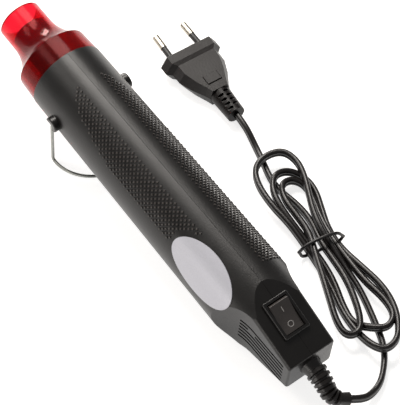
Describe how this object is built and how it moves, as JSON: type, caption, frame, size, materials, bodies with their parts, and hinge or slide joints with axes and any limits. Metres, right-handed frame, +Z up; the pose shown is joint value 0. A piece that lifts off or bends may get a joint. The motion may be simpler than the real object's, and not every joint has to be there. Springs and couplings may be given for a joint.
{
  "type": "embossing heat tool",
  "caption": "Hand-held embossing heat tool: barrel with hot-air nozzle, rocker switch, folding wire bail, and a tied-up mains cord with a flat two-pin plug.",
  "frame": {"origin": "centre of the standing tool's bounding box on the surface that it stands on, the cord and its plug left out", "axes": "+X from the rear face towards the nozzle's mouth, +Y to the tool's left, +Z up; the barrel's axis rises 4.9 degrees towards the nozzle"},
  "size_m": [0.2778, 0.1157, 0.0585],
  "materials": {
    "black_plastic": "satin",
    "red_plastic": "translucent gloss",
    "dark_plastic": "matte",
    "switch_plastic": "satin",
    "zinc_steel": "zinc plated",
    "bright_steel": "bright",
    "resistance_wire": "oxidised",
    "ceramic": "matte",
    "mica": "satin",
    "brass_strip": "bright",
    "board": "satin",
    "capacitor": "gloss",
    "silver_label": "satin silver",
    "bail_wire": "dull nickel plate",
    "cord_sheath": "satin",
    "lead_sheath": "satin",
    "tie_plastic": "satin",
    "plated_brass": "nickel plated",
    "sleeve_plastic": "satin"
  },
  "bodies": {
    "housing": {"left_shell": "black_plastic", "right_shell": "black_plastic", "shell_screws": "zinc_steel", "nozzle_shroud": "red_plastic", "heater_tube": "bright_steel", "heater_ring": "ceramic", "mica_liner": "mica", "former_plate": "mica", "heater_former": "mica", "heating_element": "resistance_wire", "thermal_cutout": "bright_steel", "fan_duct": "dark_plastic", "motor_can": "bright_steel", "motor_end_cap": "dark_plastic", "motor_tabs": "brass_strip", "motor_bracket": "zinc_steel", "motor_screws": "zinc_steel", "motor_board": "board", "rectifier_diodes": "dark_plastic", "suppression_capacitor": "capacitor", "switch_body": "switch_plastic", "switch_terminals": "brass_strip", "rating_label": "silver_label", "cord_clamp": "dark_plastic", "inner_cord": "cord_sheath", "switch_lead": "lead_sheath", "load_lead": "lead_sheath", "return_lead": "lead_sheath", "strain_relief": "cord_sheath", "cord_tail": "cord_sheath", "cord_hank": "cord_sheath", "cord_plug_end": "cord_sheath", "twist_tie": "tie_plastic", "plug_body": "cord_sheath", "plug_pins": "plated_brass", "pin_sleeves": "sleeve_plastic"},
    "bail": {"bail": "bail_wire"},
    "rocker": {"rocker": "switch_plastic"},
    "rotor": {"motor_shaft": "bright_steel", "fan": "dark_plastic"}
  },
  "joints": [
    {"name": "bail_fold", "type": "hinge", "parent": "housing", "child": "bail", "pos_m": [0.06069, 0, 0.03492], "axis": [0, 1, 0], "range_deg": [-91, 0]},
    {"name": "rocker_tilt", "type": "hinge", "parent": "housing", "child": "rocker", "pos_m": [-0.1035, 0, 0.03729], "axis": [0, 1, 0], "range_deg": [0, 24]},
    {"name": "fan_spin", "type": "hinge", "parent": "housing", "child": "rotor", "pos_m": [0.0049, 0, 0.0301], "axis": [0.9963, 0, 0.0861], "continuous": true}
  ]
}
